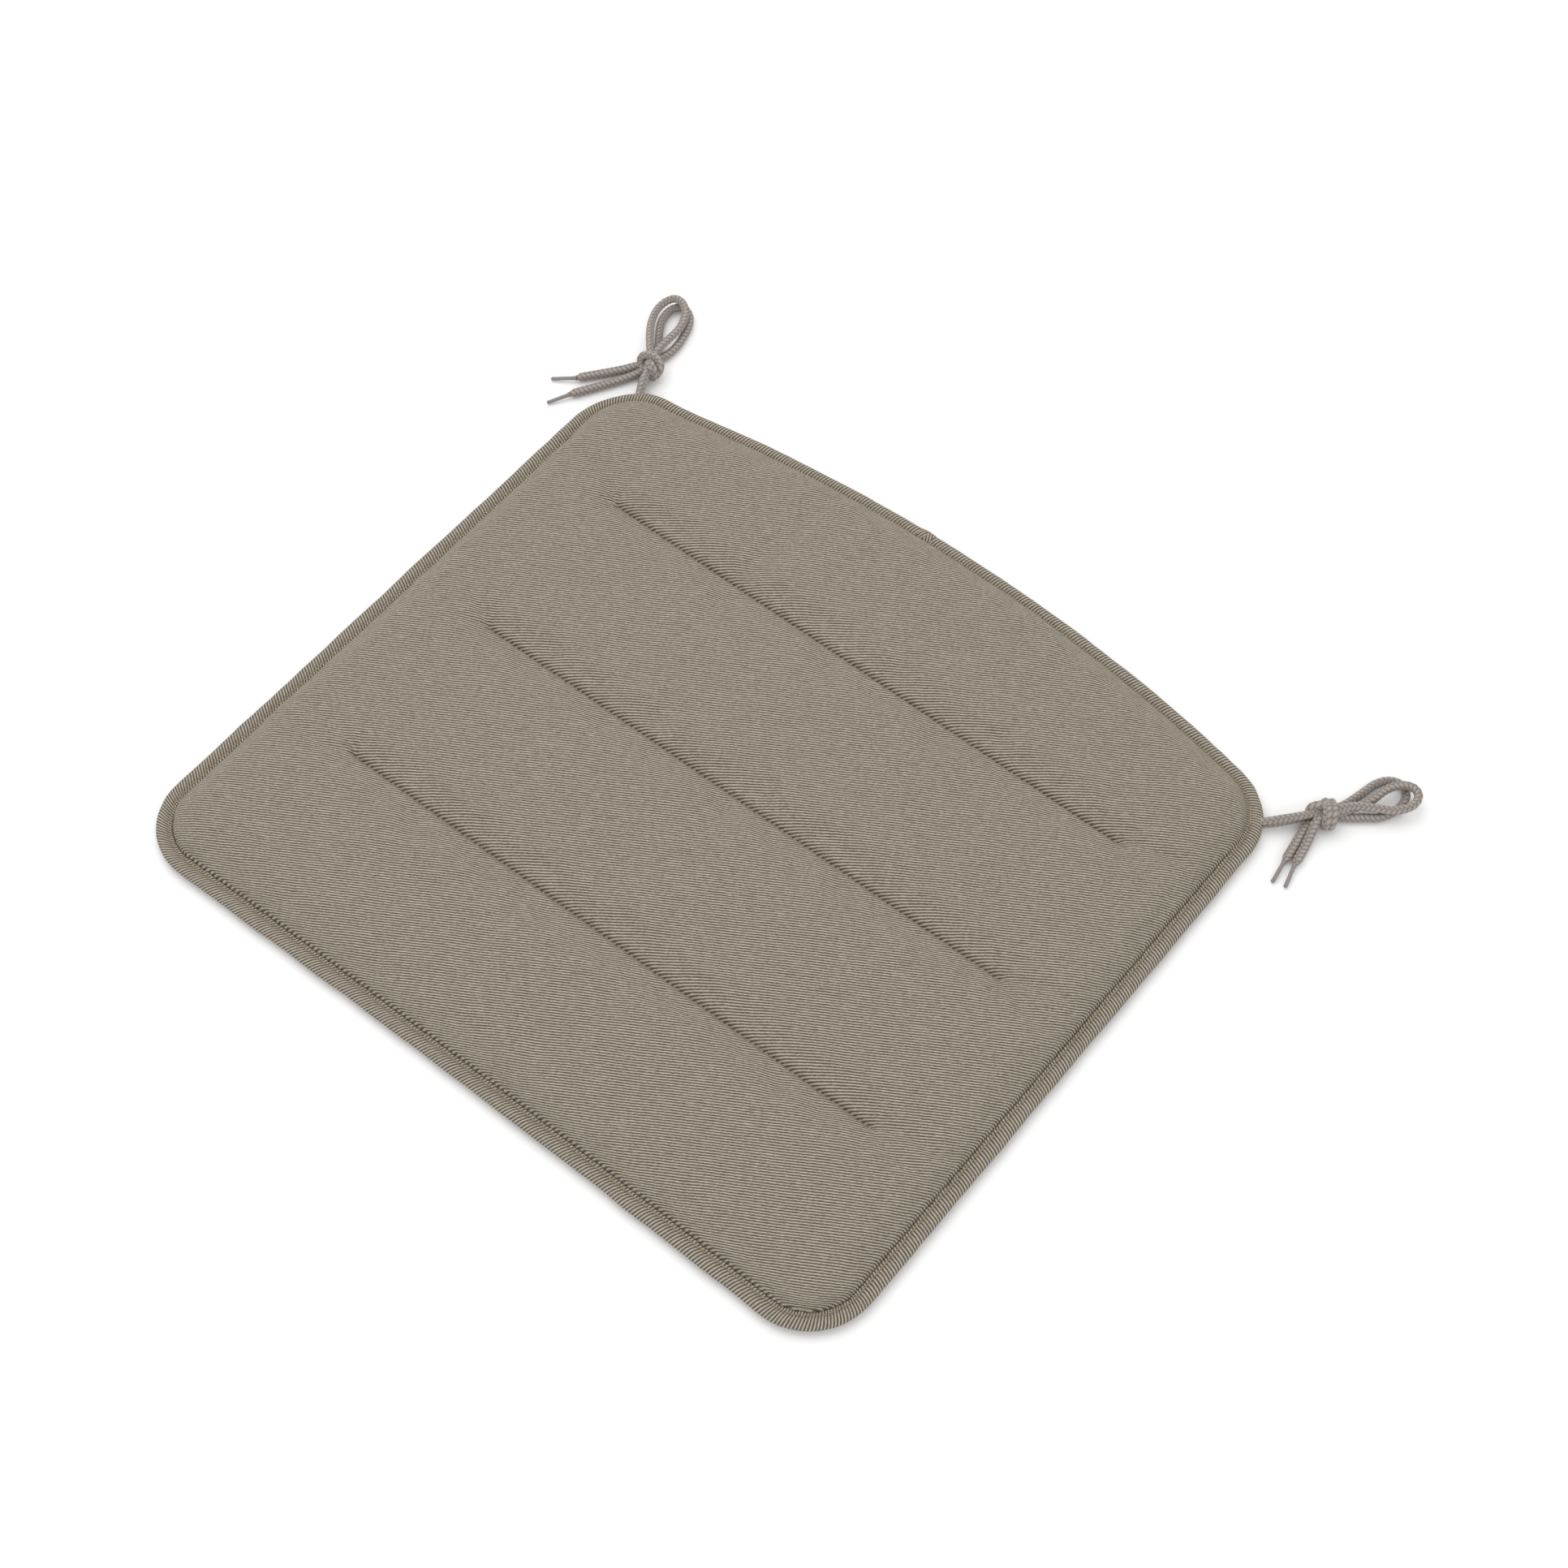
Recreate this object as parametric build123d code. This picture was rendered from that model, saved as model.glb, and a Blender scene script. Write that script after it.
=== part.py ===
"""Quilted chair seat pad with two cord ties. Millimetres, +Z up.

The pad lies on its underside on z = 0, centred on the origin. Its straight front edge
is towards -Y and its bowed back edge, with a tie at each corner, is towards +Y.
"""
import os
from math import cos, pi, radians, sin, sqrt, tan

from build123d import *

# Outline of the pad
PAD_WIDTH = 440
SIDE_DEPTH = 370.5
BACK_BOW = 27.5
FRONT_HOLLOW = 2.5
FRONT_CORNER_RADIUS = 35.5
BACK_CORNER_RADIUS = 40

# Section through the pad
PAD_THICKNESS = 14
COVER_THICKNESS = 1
SHOULDER_RADIUS = 6
UNDERSIDE_RADIUS = 1.8
SEAM_HEIGHT = 4
EDGE_THICKNESS = 4
BINDING_WIDTH = 8.5
BINDING_THICKNESS = 0.9
BINDING_ROUNDING = 1.7
SEAM_GAP = 0.05
WALL_INSET = BINDING_WIDTH + 0.3

# Quilted channels, sewn through the foam
CHANNEL_HALF_LENGTH = 163.5
CHANNEL_CENTRE_X = 4
CHANNEL_Y = {"back": 103.5, "middle": 4, "front": -96.5}
CHANNEL_TOP_WIDTH = 12
CHANNEL_TOP_FLOOR = 7
CHANNEL_UNDER_WIDTH = 8
CHANNEL_UNDER_ROOF = 2.5
CHANNEL_FLAT = 1.6
CHANNEL_RUN_OUT = 8

# Sewing thread
THREAD_DIAMETER = 0.6
BINDING_STITCH_INSET = 6.5
THREAD_GAP = 0.03
TACK_SIZE = (9, 1.8, 0.5)

# Lap where the two ends of the binding meet, on the back edge
LAP_X = -23
LAP_LENGTH = 9
LAP_THICKNESS = 0.7

# Ties: a cord folded in half and caught in the seam at each back corner. Each tie swings
# about a level line that crosses it HINGE_STAND_OFF outside the seam.
CORD_DIAMETER = 4.8
EXIT_ANGLE = {"left": 122, "right": 34}
SEAM_END_WIDTH = 10
SEAM_END_THICKNESS = 1.9
SEAM_END_STICK_OUT = 0.5
HINGE_STAND_OFF = 4.4
AGLET_DIAMETER = 2.1
KNOT_SIZE = (12.5, 13, 10.4)
KNOT_ROUNDING = 3.2

# Knot centres, and the heading of their loops in degrees from +X
KNOT = {
    "left": ((-210, 192.6), 105),
    "right": ((234.4, 184), 54),
}

# Free stretches of each strand, from point to point. The upper strand's root, loop and
# tail are the same length of cord, which passes through the knot between them.
ROUTES = {
    "left_upper_root": [(-205.7, 175.8, 4.5), (-206.8, 181.6, 6.6), (-208.2, 188.2, 7.5)],
    "left_lower_root": [(-201.3, 178.5, 3.6), (-203.9, 183.2, 2.7), (-206.4, 188.6, 2.6)],
    "left_upper_loop": [
        (-216.0, 197.6, 7.4), (-219.6, 202.4, 7.4), (-225.6, 209.8, 6.4),
        (-231.4, 219.4, 5.2), (-233.6, 229.0, 5.2), (-232.6, 235.2, 6.2),
        (-228.6, 239.2, 7.4), (-223.0, 239.2, 8.1), (-219.2, 235.0, 8.2),
        (-217.2, 229.0, 7.9), (-214.9, 220.8, 7.0), (-213.6, 211.6, 7.0),
        (-212.4, 203.8, 7.4), (-210.6, 197.4, 7.5),
    ],
    "left_lower_loop": [
        (-213.0, 198.2, 2.6), (-215.6, 202.6, 2.7), (-219.6, 208.0, 2.6),
        (-223.9, 214.2, 2.6), (-227.2, 221.5, 2.6), (-228.4, 229.0, 2.6),
        (-226.6, 234.4, 2.6), (-222.0, 236.8, 2.6), (-217.2, 235.0, 2.6),
        (-213.8, 230.4, 2.6), (-211.0, 223.0, 2.6), (-208.8, 214.6, 2.6),
        (-207.6, 207.4, 2.6), (-206.6, 197.2, 2.6),
    ],
    "left_upper_tail": [
        (-214.8, 192.6, 2.8), (-218.6, 188.0, 2.6), (-223.4, 180.4, 2.5),
        (-229.8, 171.6, 2.5), (-236.4, 163.0, 2.5),
    ],
    "left_lower_tail": [
        (-212.9, 187.4, 3.6), (-214.9, 182.4, 3.0), (-218.6, 174.2, 2.6),
        (-223.8, 164.6, 2.5), (-231.2, 152.6, 2.5),
    ],
    "left_upper_aglet": [(-236.4, 163.0, 2.5), (-246.6, 152.6, 1.3)],
    "left_lower_aglet": [(-231.2, 152.6, 2.5), (-238.2, 139.6, 1.3)],
    "right_upper_root": [
        (215.4, 166.3, 4.5), (219.6, 169.8, 6.9), (224.2, 174.6, 7.6), (229.0, 180.8, 7.6),
    ],
    "right_lower_root": [
        (218.2, 162.1, 3.6), (221.6, 166.8, 2.8), (225.2, 172.8, 2.6), (228.8, 180.6, 2.6),
    ],
    "right_upper_loop": [
        (235.5, 189.7, 7.5), (239.0, 193.8, 7.6), (243.6, 198.8, 7.4), (248.2, 205.0, 7.2),
        (251.4, 213.0, 7.4), (254.8, 218.8, 7.9), (260.0, 221.4, 8.1), (264.8, 219.6, 7.8),
        (266.6, 214.6, 7.4), (264.0, 209.0, 7.5), (257.6, 203.4, 7.7), (249.8, 197.0, 7.7),
        (243.6, 191.6, 7.6), (239.6, 186.8, 7.5),
    ],
    "right_lower_loop": [
        (234.8, 190.2, 2.6), (237.0, 195.8, 2.6), (239.8, 203.6, 2.6), (242.3, 213.0, 2.6),
        (245.4, 220.6, 2.6), (250.4, 224.6, 2.6), (256.4, 224.4, 2.6), (260.8, 220.4, 2.6),
        (262.0, 214.0, 2.6), (259.8, 207.4, 2.6), (255.0, 200.6, 2.6), (248.6, 195.0, 2.6),
        (243.4, 190.6, 2.6), (239.7, 186.7, 2.6),
    ],
    "right_upper_tail": [
        (233.9, 178.6, 7.6), (235.6, 172.6, 6.4), (236.3, 165.4, 3.4), (237.4, 158.2, 2.5),
        (238.8, 150.8, 2.5),
    ],
    "right_lower_tail": [
        (233.2, 178.3, 2.5), (231.4, 172.4, 2.5), (230.8, 165.6, 2.5), (231.8, 158.4, 2.5),
        (233.2, 151.0, 2.5),
    ],
    "right_upper_aglet": [(238.8, 150.8, 2.5), (242.0, 137.8, 1.3)],
    "right_lower_aglet": [(233.2, 151.0, 2.5), (235.6, 137.4, 1.3)],
}

HALF_WIDTH = PAD_WIDTH / 2
BACK_RADIUS = (HALF_WIDTH**2 + BACK_BOW**2) / (2 * BACK_BOW)


def pad_outline():
    """Face of the whole pad seen from above, centred on the origin."""
    front_left = (-HALF_WIDTH, 0)
    front_right = (HALF_WIDTH, 0)
    back_right = (HALF_WIDTH, SIDE_DEPTH)
    back_left = (-HALF_WIDTH, SIDE_DEPTH)
    edges = [
        ThreePointArc(front_left, (0, FRONT_HOLLOW), front_right),
        Line(front_right, back_right),
        ThreePointArc(back_right, (0, SIDE_DEPTH + BACK_BOW), back_left),
        Line(back_left, front_left),
    ]
    face = Sketch() + make_face(edges)
    face = fillet(face.vertices().sort_by(Axis.Y)[:2], FRONT_CORNER_RADIUS)
    face = fillet(face.vertices().sort_by(Axis.Y)[-2:], BACK_CORNER_RADIUS)
    return face


OUTLINE = pad_outline()
CENTRE_SHIFT = -OUTLINE.bounding_box().center().Y
OUTLINE = Pos(0, CENTRE_SHIFT) * OUTLINE


def inset_slab(inset, bottom, top):
    """Slab between two heights whose outline lies inside the pad's by the inset."""
    face = offset(OUTLINE, amount=-inset, kind=Kind.INTERSECTION) if inset else OUTLINE
    return extrude(Pos(0, 0, bottom) * face, amount=top - bottom)


def corner_frame(side):
    """Location on the outline where a tie leaves: +X out of the pad, +Y along the seam."""
    reach = BACK_RADIUS - BACK_CORNER_RADIUS
    corner_x = HALF_WIDTH - BACK_CORNER_RADIUS
    arc_centre_y = SIDE_DEPTH + BACK_BOW - BACK_RADIUS
    corner_y = arc_centre_y + sqrt(reach**2 - corner_x**2) + CENTRE_SHIFT
    angle = EXIT_ANGLE[side]
    sign = -1 if side == "left" else 1
    return Location(
        (
            sign * corner_x + BACK_CORNER_RADIUS * cos(radians(angle)),
            corner_y + BACK_CORNER_RADIUS * sin(radians(angle)),
            SEAM_HEIGHT,
        ),
        (0, 0, angle),
    )


def channel_wedge(y, mouth_width, mouth_z, floor_z, margin):
    """Tapered cutter for one quilted channel, grown by a margin on every side."""
    depth = abs(mouth_z - floor_z)
    run = (mouth_width - CHANNEL_FLAT) / 2
    side_shift = margin * sqrt(run**2 + depth**2) / depth
    mouth = mouth_width / 2 + side_shift
    flat = CHANNEL_FLAT / 2 + side_shift - margin * run / depth
    towards_floor = 1 if floor_z > mouth_z else -1
    floor = floor_z + towards_floor * margin
    section = Plane.YZ * Polygon(
        (y - mouth, mouth_z), (y + mouth, mouth_z), (y + flat, floor), (y - flat, floor),
        align=None,
    )
    prism = extrude(section, amount=PAD_WIDTH / 2, both=True)
    half = CHANNEL_HALF_LENGTH + margin
    ends = Plane.XZ * Polygon(
        (CHANNEL_CENTRE_X - half - CHANNEL_RUN_OUT, mouth_z),
        (CHANNEL_CENTRE_X + half + CHANNEL_RUN_OUT, mouth_z),
        (CHANNEL_CENTRE_X + half, floor),
        (CHANNEL_CENTRE_X - half, floor),
        align=None,
    )
    return prism & extrude(ends, amount=PAD_WIDTH, both=True)


def cut_channels(solid, margin):
    """Cuts the three channels into the upper side and the underside."""
    for y in CHANNEL_Y.values():
        solid -= channel_wedge(y, CHANNEL_TOP_WIDTH, PAD_THICKNESS, CHANNEL_TOP_FLOOR, margin)
        solid -= channel_wedge(y, CHANNEL_UNDER_WIDTH, 0, CHANNEL_UNDER_ROOF, margin)
    return solid


def make_foam_core():
    inset = WALL_INSET + COVER_THICKNESS + SEAM_GAP
    bottom = COVER_THICKNESS
    top = PAD_THICKNESS - COVER_THICKNESS
    core = inset_slab(inset, bottom, top)
    edges = core.edges().group_by(Axis.Z)
    core = fillet(edges[-1], SHOULDER_RADIUS - COVER_THICKNESS)
    core = fillet(core.edges().group_by(Axis.Z)[0], UNDERSIDE_RADIUS - COVER_THICKNESS)
    return cut_channels(core, COVER_THICKNESS)


def tie_pocket(side):
    """Gap between the sewn layers that holds the flattened end of a tie."""
    length = BINDING_WIDTH + SEAM_END_STICK_OUT + 1
    box = Box(length, SEAM_END_WIDTH + 0.4, EDGE_THICKNESS / 2 + 0.2)
    return corner_frame(side) * Pos(SEAM_END_STICK_OUT + 0.2 - length / 2, 0, 0) * box


def make_cover(outer_slab, flange_bottom, flange_top, inner):
    """Fabric shell over one side of the foam, with its flange out to the seam."""
    flange_inset = BINDING_THICKNESS + SEAM_GAP
    cover = outer_slab - inner + (
        inset_slab(flange_inset, flange_bottom, flange_top)
        - inset_slab(WALL_INSET + COVER_THICKNESS / 2, flange_bottom, flange_top)
    )
    for side in EXIT_ANGLE:
        cover -= tie_pocket(side)
    return cover


def make_top_cover():
    bottom = SEAM_HEIGHT + SEAM_GAP
    outer = inset_slab(WALL_INSET, bottom, PAD_THICKNESS)
    outer = cut_channels(fillet(outer.edges().group_by(Axis.Z)[-1], SHOULDER_RADIUS), 0)
    inner = inset_slab(WALL_INSET + COVER_THICKNESS, bottom, PAD_THICKNESS - COVER_THICKNESS)
    inner = fillet(inner.edges().group_by(Axis.Z)[-1], SHOULDER_RADIUS - COVER_THICKNESS)
    inner = cut_channels(inner, COVER_THICKNESS)
    return make_cover(outer, bottom, bottom + COVER_THICKNESS, inner)


def make_bottom_cover():
    top = SEAM_HEIGHT - SEAM_GAP
    outer = inset_slab(WALL_INSET, 0, top)
    outer = cut_channels(fillet(outer.edges().group_by(Axis.Z)[0], UNDERSIDE_RADIUS), 0)
    inner = inset_slab(WALL_INSET + COVER_THICKNESS, COVER_THICKNESS, top)
    inner = fillet(inner.edges().group_by(Axis.Z)[0], UNDERSIDE_RADIUS - COVER_THICKNESS)
    inner = cut_channels(inner, COVER_THICKNESS)
    return make_cover(outer, top - COVER_THICKNESS, top, inner)


def stitch_loop(z):
    """One thread run right round the binding at a height."""
    path = offset(OUTLINE, amount=-BINDING_STITCH_INSET, kind=Kind.INTERSECTION)
    wire = Pos(0, 0, z) * path.faces()[0].outer_wire()
    section = Plane(origin=wire @ 0, z_dir=wire % 0) * Circle(THREAD_DIAMETER / 2)
    return sweep(section, path=wire)


EDGE_BOTTOM = SEAM_HEIGHT - EDGE_THICKNESS / 2
EDGE_TOP = SEAM_HEIGHT + EDGE_THICKNESS / 2
TOP_THREAD_Z = EDGE_TOP + THREAD_DIAMETER / 2 + THREAD_GAP
UNDER_THREAD_Z = EDGE_BOTTOM - THREAD_DIAMETER / 2 - THREAD_GAP


def make_edge_binding():
    """Folded strip round the raw edges of both covers."""
    outer = inset_slab(0, EDGE_BOTTOM, EDGE_TOP)
    outer = fillet(outer.edges().group_by(Axis.Z)[-1], BINDING_ROUNDING)
    outer = fillet(outer.edges().group_by(Axis.Z)[0], BINDING_ROUNDING)
    fold = BINDING_THICKNESS
    binding = outer - inset_slab(fold, EDGE_BOTTOM + fold, EDGE_TOP - fold)
    binding -= inset_slab(BINDING_WIDTH, EDGE_BOTTOM, EDGE_TOP)
    for side in EXIT_ANGLE:
        binding -= tie_pocket(side)
    return binding


def make_binding_lap():
    """Short second layer where one end of the binding laps over the other."""
    lap = extrude(
        Pos(0, 0, SEAM_HEIGHT) * offset(OUTLINE, amount=LAP_THICKNESS, kind=Kind.INTERSECTION),
        amount=EDGE_THICKNESS / 2 + LAP_THICKNESS,
    )
    lap = fillet(lap.edges().group_by(Axis.Z)[-1], BINDING_ROUNDING + LAP_THICKNESS)
    under = inset_slab(0, SEAM_HEIGHT - 1, EDGE_TOP + SEAM_GAP)
    under = fillet(under.edges().group_by(Axis.Z)[-1], BINDING_ROUNDING)
    lap = lap - under - inset_slab(BINDING_STITCH_INSET - 1, SEAM_HEIGHT, PAD_THICKNESS)
    return lap & (Pos(LAP_X, PAD_WIDTH / 2, SEAM_HEIGHT) * Box(LAP_LENGTH, PAD_WIDTH, 20))


def make_channel_thread(y, z):
    length = 2 * CHANNEL_HALF_LENGTH
    thread = Cylinder(THREAD_DIAMETER / 2, length, rotation=(0, 90, 0))
    return Pos(CHANNEL_CENTRE_X, y, z) * thread


def make_tack(side):
    """Dense bar of stitches over the end of a tie."""
    length, width, height = TACK_SIZE
    bar = Box(width, length, height, align=(Align.CENTER, Align.CENTER, Align.MIN))
    bar = fillet(bar.edges().filter_by(Axis.Z), width / 3)
    top = EDGE_THICKNESS / 2 + THREAD_DIAMETER + 2 * THREAD_GAP
    return corner_frame(side) * Pos(-BINDING_STITCH_INSET, 0, top) * bar


def make_seam_end(side):
    """Folded middle of the tie's cord, pressed flat between the covers."""
    length = BINDING_WIDTH - 0.6 + SEAM_END_STICK_OUT
    pad = Box(length, SEAM_END_WIDTH, SEAM_END_THICKNESS)
    pad = fillet(pad.edges().filter_by(Axis.Z).group_by(Axis.X)[0], 3)
    return corner_frame(side) * Pos(SEAM_END_STICK_OUT - length / 2, 0, 0) * pad


def make_cord(name, points):
    """Tube along straight runs joined by tangent arcs as large as the runs allow."""
    spots = [Vector(*p) for p in points]
    radii = []
    for before, here, after in zip(spots, spots[1:], spots[2:]):
        turn = (here - before).get_angle(after - here)
        shorter = min((here - before).length, (after - here).length)
        radii.append(0.45 * shorter / tan(radians(turn) / 2))
    line = FilletPolyline(*spots, radius=radii)
    section = Plane(origin=line @ 0, z_dir=line % 0) * Circle(CORD_DIAMETER / 2)
    tube = sweep(section, path=line)
    expected = line.length * pi * CORD_DIAMETER**2 / 4
    listed = ", ".join(f"{r:.1f}" for r in radii)
    print(f"{name}: {line.length:.1f} mm, volume ratio {tube.volume / expected:.4f}, radii {listed}")
    return tube


def make_knot(side):
    (x, y), heading = KNOT[side]
    length, width, height = KNOT_SIZE
    knot = Box(length, width, height, align=(Align.CENTER, Align.CENTER, Align.MIN))
    knot = fillet(knot.edges(), KNOT_ROUNDING)
    return Pos(x, y, 0.1) * Rot(0, 0, heading) * knot


def make_aglet(points):
    start, end = (Vector(*p) for p in points)
    tube = Cylinder(
        AGLET_DIAMETER / 2, (end - start).length, align=(Align.CENTER, Align.CENTER, Align.MIN)
    )
    return Plane(origin=start, z_dir=end - start).location * tube


def make_tie_part(name, points):
    if name.endswith("aglet"):
        return make_aglet(points)
    return make_cord(name, points)


parts = {
    "foam_core": make_foam_core(),
    "top_cover": make_top_cover(),
    "bottom_cover": make_bottom_cover(),
    "edge_binding": make_edge_binding(),
    "binding_lap": make_binding_lap(),
    "binding_stitch_top": stitch_loop(TOP_THREAD_Z),
    "binding_stitch_under": stitch_loop(UNDER_THREAD_Z),
}
for place, y in CHANNEL_Y.items():
    lift = THREAD_DIAMETER / 2 + THREAD_GAP
    parts[f"{place}_channel_stitch_top"] = make_channel_thread(y, CHANNEL_TOP_FLOOR + lift)
    parts[f"{place}_channel_stitch_under"] = make_channel_thread(y, CHANNEL_UNDER_ROOF - lift)
for side in EXIT_ANGLE:
    parts[f"{side}_bar_tack"] = make_tack(side)
    parts[f"{side}_tie_seam_end"] = make_seam_end(side)
    parts[f"{side}_knot"] = make_knot(side)
for name, points in ROUTES.items():
    parts[name] = make_tie_part(name, points)

os.makedirs("parts", exist_ok=True)
for name, shape in parts.items():
    shape.label = name
    export_step(shape, f"parts/{name}.step")
for side in EXIT_ANGLE:
    hinge = corner_frame(side) * Pos(HINGE_STAND_OFF, 0, 0)
    print(side, "exit", corner_frame(side).position, "hinge", hinge.position)
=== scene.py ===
"""Chair seat pad with two cord ties: cloth, stitching, cords, light and camera.

Everything is in metres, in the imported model's frame: the pad lies on z = 0, its bowed
back edge and its ties are towards +Y.
"""
from math import cos, pi, radians, sin, sqrt

import bpy
import numpy as np
from mathutils import Matrix, Vector


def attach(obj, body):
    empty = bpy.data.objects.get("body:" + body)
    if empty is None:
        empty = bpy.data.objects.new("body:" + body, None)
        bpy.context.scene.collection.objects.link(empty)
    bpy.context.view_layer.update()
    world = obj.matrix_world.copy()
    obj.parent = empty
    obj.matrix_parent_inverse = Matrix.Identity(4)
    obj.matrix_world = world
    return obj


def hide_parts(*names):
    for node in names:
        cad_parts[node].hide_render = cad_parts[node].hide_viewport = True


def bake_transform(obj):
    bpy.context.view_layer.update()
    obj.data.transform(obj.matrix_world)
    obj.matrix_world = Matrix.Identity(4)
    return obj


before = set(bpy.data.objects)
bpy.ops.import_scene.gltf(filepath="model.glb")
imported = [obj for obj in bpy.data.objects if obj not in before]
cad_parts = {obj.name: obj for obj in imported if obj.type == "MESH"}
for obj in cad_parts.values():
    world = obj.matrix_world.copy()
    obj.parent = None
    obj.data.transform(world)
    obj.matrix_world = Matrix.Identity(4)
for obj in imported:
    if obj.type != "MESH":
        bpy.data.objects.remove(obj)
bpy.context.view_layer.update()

MM = 0.001

# Outline of the pad, as in the CAD
HALF_WIDTH = 0.220
FRONT_RADIUS = 9.68125
BACK_RADIUS = 0.89375
FRONT_CORNER_RADIUS = 0.0355
BACK_CORNER_RADIUS = 0.040
CENTRE_SHIFT = -0.199374
FRONT_CENTRE_Y = 0.0025 - FRONT_RADIUS + CENTRE_SHIFT
BACK_CENTRE_Y = 0.398 - BACK_RADIUS + CENTRE_SHIFT
FRONT_CORNER = (HALF_WIDTH - FRONT_CORNER_RADIUS, 0.036248 + CENTRE_SHIFT)
BACK_CORNER = (HALF_WIDTH - BACK_CORNER_RADIUS, 0.338809 + CENTRE_SHIFT)
FRONT_TANGENT = radians(91.088)
BACK_TANGENT = radians(77.829)

# Quilted channels
CHANNEL_Y = (-0.0965, 0.004, 0.1035)
CHANNEL_CENTRE_X = 0.004
CHANNEL_HALF = 0.1635
BACK_CHANNEL_TILT = -0.010

# Section through the pad
COVER_INSET = 0.0072
SEAM_Z = 0.0044
TOP_Z = 0.0140
GROOVE_DEPTH = 0.0038
GROOVE_REACH = 0.0042
CREASE_DEPTH = 0.0021
CREASE_REACH = 0.0012
SHOULDER_START = 0.0089
SHOULDER_OVER_LIP = 0.0010
SHOULDER_WIDTH = 0.018
FOAM_INSET = 0.0105

# Binding
LAP_ANGLE = radians(91.475)
STITCH_INSET = 0.0066
STITCH_PITCH = 0.0040
BINDING_STEP = 0.00105
LAP_STEP = 0.0004
LAP_HALF = 0.0046

# Thread: heights of the upper and lower rows, how far a stitch bows up, radii, and bar tacks
BINDING_ROWS = (0.0056, 0.0023)
CHANNEL_ROWS = (0.0084, 0.0024)
BINDING_BOW = 0.00030
CHANNEL_BOW = 0.00028
BINDING_THREAD = 0.00024
CHANNEL_THREAD = 0.00026
CHANNEL_STITCHES = 82
TACK_HALF = 0.0045
TACK_REACH = 0.0008
TACK_BOW = 0.00035
TACK_THREAD = 0.00017

# Weave of the cover and of the binding
TWILL_ANGLE = radians(30.9)
TWILL_PITCH = 0.00138
BINDING_PITCH = 0.00172

BEAD_PITCH = 0.00062
THREAD_TWIST = 0.0009
FABRIC_SLOTS = ("cover_twill", "binding_twill", "foam")

# Back left corner, which the tie sewn into it has drawn out
PULLED_AT = (-0.197, 0.176)
PULLED_REACH = 0.017
PULLED_BY = (-0.0008, 0.0019)

# Cloth simulation of the upper cover
PRESSURE = 12.0
MOST_MOVED = 0.0017
PINNED_REACH = 0.0024
LAST_FRAME = 20

# Cord and its braid; the tails are a little fuller than the loops, and taper into their tips
CORD_DIAMETER = 0.0048
TAIL_LENGTH = 0.038
TAPER_LENGTH = 0.0032
BRAID_LEAD = 0.0100
YARN_WIDTH = 0.0019
TUBE_STEP = 0.00042

# Points of the cords are in tenths of a millimetre
CORD_UNITS = 10000

# Each strand of the ties from the seam to its aglet, with the turns inside the knot
ROUTES = {
    "left_upper": [
        (-2013, 1714, 49), (-2031, 1747, 50), (-2043, 1777, 62), (-2059, 1816, 72),
        (-2079, 1867, 76), (-2108, 1921, 74), (-2141, 1970, 72), (-2180, 2011, 74),
        (-2240, 2076, 72), (-2299, 2159, 66), (-2338, 2254, 60), (-2334, 2330, 62),
        (-2303, 2374, 70), (-2247, 2368, 80), (-2190, 2330, 82), (-2155, 2273, 80),
        (-2136, 2199, 76), (-2138, 2119, 74), (-2138, 2045, 74), (-2130, 1984, 68),
        (-2133, 1943, 46), (-2166, 1911, 29), (-2207, 1844, 26), (-2257, 1778, 25),
        (-2317, 1701, 25), (-2380, 1622, 25),
    ],
    "left_lower": [
        (-2023, 1725, 31), (-2043, 1759, 30), (-2066, 1796, 27), (-2089, 1836, 26),
        (-2111, 1891, 26), (-2131, 1955, 26), (-2148, 2015, 26), (-2178, 2077, 26),
        (-2233, 2145, 26), (-2280, 2220, 26), (-2299, 2298, 26), (-2281, 2357, 26),
        (-2237, 2380, 26), (-2180, 2351, 26), (-2140, 2296, 26), (-2117, 2226, 26),
        (-2097, 2149, 26), (-2096, 2067, 26), (-2112, 2018, 28), (-2120, 1953, 36),
        (-2123, 1889, 36), (-2147, 1831, 29), (-2183, 1760, 26), (-2235, 1673, 25),
        (-2283, 1594, 25), (-2333, 1512, 25),
    ],
    "right_upper": [
        (2118, 1575, 49), (2138, 1596, 50), (2175, 1622, 62), (2221, 1667, 72),
        (2270, 1720, 76), (2307, 1768, 74), (2347, 1814, 70), (2385, 1860, 72),
        (2420, 1910, 75), (2459, 1954, 76), (2533, 1998, 75), (2599, 2032, 73),
        (2657, 2084, 72), (2685, 2149, 74), (2668, 2207, 78), (2613, 2222, 80),
        (2552, 2185, 76), (2514, 2119, 66), (2503, 2049, 60), (2471, 1982, 54),
        (2437, 1915, 56), (2403, 1862, 60), (2366, 1811, 66), (2352, 1760, 68),
        (2363, 1710, 54), (2374, 1660, 32), (2387, 1590, 25), (2399, 1509, 25),
    ],
    "right_lower": [
        (2121, 1575, 31), (2142, 1595, 30), (2176, 1629, 27), (2218, 1682, 26),
        (2264, 1743, 26), (2299, 1794, 26), (2337, 1841, 26), (2372, 1892, 26),
        (2401, 1953, 26), (2419, 2017, 26), (2433, 2075, 26), (2448, 2145, 26),
        (2478, 2199, 26), (2523, 2229, 26), (2574, 2230, 26), (2613, 2195, 26),
        (2626, 2135, 26), (2615, 2066, 26), (2579, 1995, 26), (2516, 1948, 26),
        (2455, 1896, 26), (2393, 1859, 26), (2351, 1818, 28), (2327, 1770, 30),
        (2321, 1709, 26), (2329, 1646, 25), (2341, 1564, 25), (2349, 1490, 25),
    ],
}

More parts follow.
